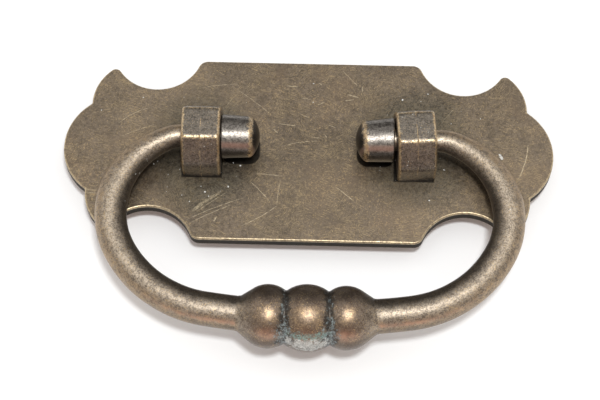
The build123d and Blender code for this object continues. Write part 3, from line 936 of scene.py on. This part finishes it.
def knob_piece(name, side, lean):
    """Cap turned about its own leaning axis: its profile's circles, slid along that axis near the shoulder so
    that the shoulder stays square to the pivot line; and the bore, about the pivot line itself.
    """
    rise = knob_length - knob_barrel
    dome_radius = (rise**2 + knob_end_radius**2) / (2 * rise)
    corner = np.array((knob_barrel, knob_end_radius))
    along = corner - np.array((0, knob_radius))
    along /= np.hypot(*along)
    angle = np.linspace(math.asin(knob_end_radius / dome_radius), 0, 22)
    dome_x = knob_length - dome_radius + dome_radius * np.cos(angle)
    dome = np.stack((dome_x, dome_radius * np.sin(angle)), axis=1)
    start, end = corner - knob_bend * along, dome[3]
    t = np.linspace(0, 1, 9)[:, None]
    bend = (1 - t) ** 2 * start + 2 * t * (1 - t) * corner + t**2 * end
    rim = np.linspace(0, np.pi / 2, 6)
    edge = knob_shoulder_round
    shoulder_edge = np.stack((edge * (1 - np.cos(rim)), knob_radius - edge + edge * np.sin(rim)), axis=1)
    barrel_stops = np.linspace(0.6 * mm, start[0] - 0.1 * mm, 18)
    barrel_radius = knob_radius + barrel_stops * (knob_end_radius - knob_radius) / knob_barrel
    barrel = np.stack((barrel_stops, barrel_radius), axis=1)
    outer = np.concatenate((((0, spigot_radius),), shoulder_edge, barrel, bend, dome[4:]))
    round_way = np.linspace(0, 2 * np.pi, 97)[:-1]
    c, s = math.cos(rest_tilt), math.sin(rest_tilt)
    plane_up = np.array((0, -s, c))
    inward = np.array((-side, 0.0, 0.0))
    swing = np.array((0.0, -side * c, -side * s))
    leaning = math.cos(lean) * inward + math.sin(lean) * swing
    across = math.cos(lean) * swing - math.sin(lean) * inward
    shoulder = np.array((side * shoulder_x[side], 0, pivot_height))
    stop, radius = outer[:, :1], outer[:, 1:]
    radius = radius - 0.03 * mm * ripples(stop / (4 * mm), np.cos(round_way)[None] * 0.7, 17 + side)
    radius[0], radius[-1] = spigot_radius, 0.0
    slide = radius * np.cos(round_way) * math.tan(lean) * np.clip(1 - stop / knob_barrel, 0, 1)
    points = (
        shoulder
        + (stop + slide)[..., None] * leaning
        + (radius * np.cos(round_way))[..., None] * across
        + (radius * np.sin(round_way))[..., None] * plane_up
    )
    bore_stops = np.linspace(knob_bore_depth, 0, 5)[:, None, None]
    bore = (
        shoulder
        + bore_stops * inward
        + spigot_radius * (np.cos(round_way)[:, None] * swing + np.sin(round_way)[:, None] * plane_up)
    )
    points[0] = bore[-1]
    bottom = np.broadcast_to(shoulder + knob_bore_depth * inward, bore[0].shape)[None]
    points = np.concatenate((bottom, bore[:-1], points))
    from_corner = np.hypot(*(outer - corner).T)
    rub = 1.15 * bell(from_corner, 0.0, 1.05 * mm) + 0.5 * bell(outer[:, 0], 0.0, 0.35 * mm)
    dome_end = np.clip((outer[:, 0] - knob_barrel - 0.1 * mm) / (0.6 * mm), 0, 1)
    rub, dome_end = (running((np.zeros(len(points) - len(m)), m))[:, None] for m in (rub, dome_end))
    under = np.clip(-points[..., 1] / knob_radius, -1, 1)
    marks = {"rub": rub, "dome_end": dome_end, "under": under}
    return solid_piece(name, [{"points": points, **marks}], tuple(marks))


knob_metal, t, shader, where = new_material("knob_metal", (0.27, 0.23, 0.18))
cloud, grain, _, skin = use(t, patina_grain, Vector=where, Cloud_Scale=300.0, Grain_Scale=2800.0)
rub, dome_end, under = painted(t, "rub", "dome_end", "under")
breakup = minus(t, noise(t, where, 1400.0, 4.0, 0.75), 0.5)
worn = ramp(t, plus(t, rub, times(t, breakup, 3.4)), 0.55, 1.15)
crumbs = use(t, salt, Vector=where, Amount=0.02)["Crumbs"]
colour = blend(t, cloud, (0.125, 0.112, 0.102), (0.215, 0.195, 0.178))
colour = grained(t, grain, colour, (0.6, (0.045, 0.040, 0.036)), (0.55, (0.40, 0.37, 0.33)))
# The coats include a painted reddish reflection in a band across the knob's front, and painted shade on the
# part that faces furthest forward
colour = coats(
    t, colour,
    (times(t, dome_end, 0.85), (0.026, 0.022, 0.019)),
    (times(t, ramp(t, under, 0.62, 0.74), ramp(t, under, 0.90, 0.80), 0.5), (0.44, 0.31, 0.265)),
    (ramp(t, under, 0.84, 0.95, 0.0, 0.75), (0.035, 0.029, 0.024)),
    (times(t, worn, 0.75), blend(t, grain, (0.34, 0.22, 0.11), (0.62, 0.48, 0.29))),
    (crumbs, salt_white),
)
dress(t, shader, colour, ramp(t, worn, 0.0, 1.0, 0.35, 0.40), crumbs, skin, 0.3, 0.14 * mm)
for name, side, lean in (("left_knob_cap", -1, 0.0), ("right_knob_cap", 1, math.radians(4.5))):
    knob = knob_piece(name, side, lean)
    knob.data.materials.append(knob_metal)
    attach(knob, "swinging_bail")
    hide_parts(name.removesuffix("_cap"))


# Table, light and camera
# A white table that runs out of sight, a soft box overhead, and the camera of the photograph.
table_height = -4.6 * mm
bpy.ops.mesh.primitive_plane_add(size=30.0, location=(0, 0, table_height))
table = bpy.context.object
table.name = "table"
table_white, t, shader, _ = new_material("table_white", (0.9, 0.9, 0.9))
shader.inputs["Base Color"].default_value = (0.86, 0.90, 0.93, 1.0)
shader.inputs["Roughness"].default_value = 0.8
shader.inputs["Specular IOR Level"].default_value = 0.1
shader.inputs["Emission Color"].default_value = (0.075, 0.050, 0.045, 1.0)
path = add(t, "ShaderNodeLightPath").outputs
seen = plus(t, path["Is Camera Ray"], path["Is Glossy Ray"], path["Is Transmission Ray"])
t.links.new(maths(t, "MINIMUM", seen, 1.0), shader.inputs["Emission Strength"])
underside = add(t, "ShaderNodeNewGeometry").outputs["Backfacing"]
see_through = add(t, "ShaderNodeBsdfTransparent").outputs[0]
mix = add(t, "ShaderNodeMixShader", {0: underside, 1: shader.outputs[0], 2: see_through})
t.links.new(mix.outputs[0], t.nodes["Material Output"].inputs[0])
table.data.materials.append(table_white)

room = bpy.data.worlds.new("room")
bpy.context.scene.world = room
room.use_nodes = True
t = room.node_tree
t.nodes.clear()
sky = add(t, "ShaderNodeTexCoord").outputs["Generated"]
beside, away, up = parts_of(t, sky)
beside = maths(t, "ABSOLUTE", beside)
front = blend(t, ramp(t, away, -0.80, -0.95), (0.50, 0.43, 0.37), (0.72, 0.46, 0.36))
low = blend(t, ramp(t, away, -0.35, 0.1), front, (0.05, 0.046, 0.042))
high = blend(t, ramp(t, away, -0.15, 0.25), (0.60, 0.585, 0.57), (0.92, 0.91, 0.90))
ceiling = blend(t, ramp(t, up, 0.45, 0.95), low, high)
sides = times(t, ramp(t, beside, 0.25, 0.55), ramp(t, up, 0.0, 0.4), ramp(t, away, -0.2, 0.3, 0.35, 1.0))
wall = blend(t, sides, ceiling, (1.15, 1.10, 1.03))
background = add(t, "ShaderNodeBackground", {"Color": wall, "Strength": 1.0})
t.links.new(background.outputs[0], add(t, "ShaderNodeOutputWorld").inputs[0])

lamp_place = (0.06, -0.20, 0.79)
lamp_aim = (0.0, -0.02, 0.0)
lamp = bpy.data.lights.new("top_box", "AREA")
lamp.shape = "RECTANGLE"
lamp.size, lamp.size_y = 0.10, 0.09
lamp.energy = 3.9
lamp.color = (1.0, 0.99, 0.97)
top_box = bpy.data.objects.new("top_box", lamp)
bpy.context.scene.collection.objects.link(top_box)
top_box.location = lamp_place
lamp_line = Vector(lamp_aim) - Vector(lamp_place)
top_box.rotation_euler = lamp_line.to_track_quat("-Z", "Y").to_euler()

camera_distance = 420.24 * mm
camera_target = np.array((-1.692, -13.523, 2.6)) * mm
camera_elevation = math.radians(63.96)
camera_azimuth = math.radians(1.433)
back = np.array((
    math.sin(camera_azimuth) * math.cos(camera_elevation),
    -math.cos(camera_azimuth) * math.cos(camera_elevation),
    math.sin(camera_elevation),
))
lens = bpy.data.cameras.new("camera")
lens.sensor_width = 36.0
lens.lens = 105.6
lens.clip_start = 0.01
camera = bpy.data.objects.new("camera", lens)
bpy.context.scene.collection.objects.link(camera)
camera.location = camera_target + back * camera_distance
camera.rotation_euler = Vector(-back).to_track_quat("-Z", "Y").to_euler()
bpy.context.scene.camera = camera
bpy.context.scene.view_settings.view_transform = "Standard"
